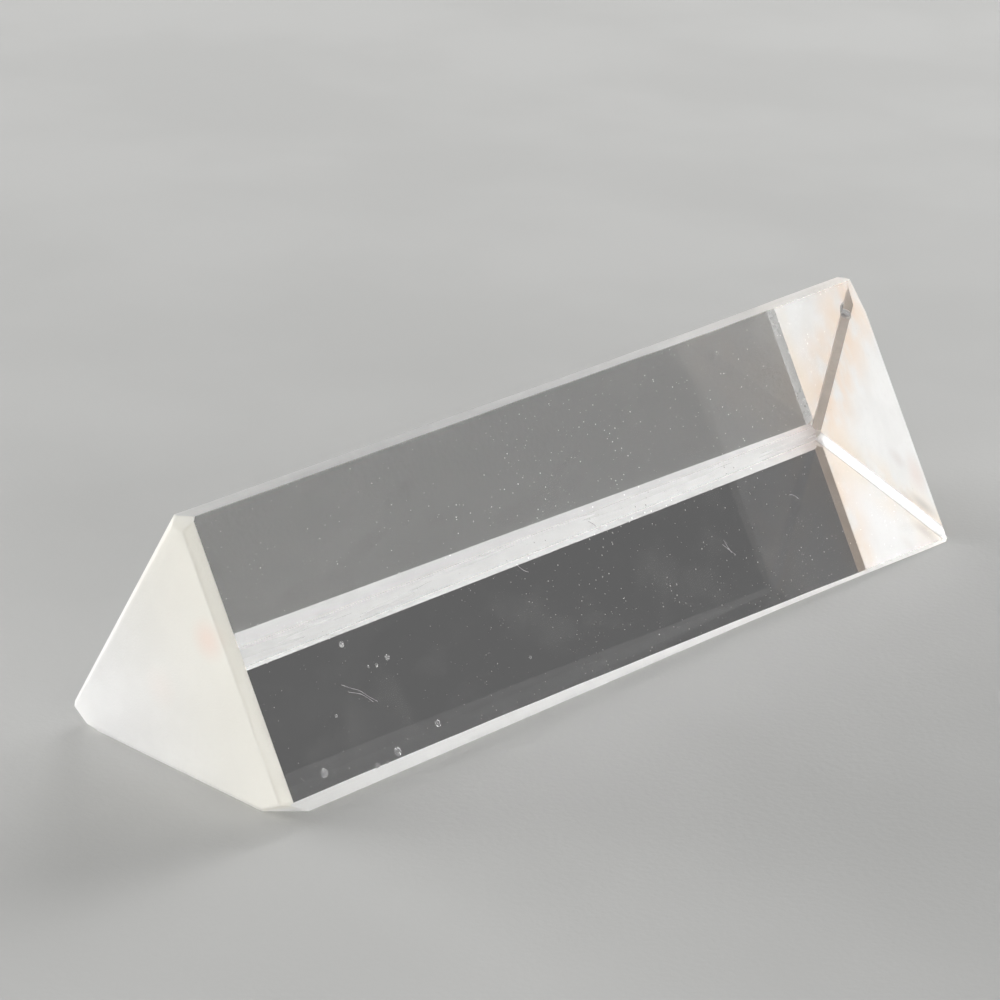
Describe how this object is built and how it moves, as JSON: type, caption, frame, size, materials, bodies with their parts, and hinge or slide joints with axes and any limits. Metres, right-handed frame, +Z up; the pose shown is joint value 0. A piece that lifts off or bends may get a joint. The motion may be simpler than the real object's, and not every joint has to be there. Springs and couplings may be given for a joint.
{
  "type": "equilateral prism",
  "caption": "Solid glass bar of 60-degree triangular section with polished faces and ground ends; bends light and splits it into its colours.",
  "frame": {"origin": "centre of the polished face that the prism rests on", "axes": "+X along the prism from its left ground end to its right one, +Y from the front bottom edge to the back bottom edge, +Z up"},
  "size_m": [0.08, 0.0242, 0.0214],
  "materials": {
    "optical_glass": "polished faces, fine-ground ends and edges"
  },
  "bodies": {
    "root": {"prism": "optical_glass"}
  },
  "joints": []
}
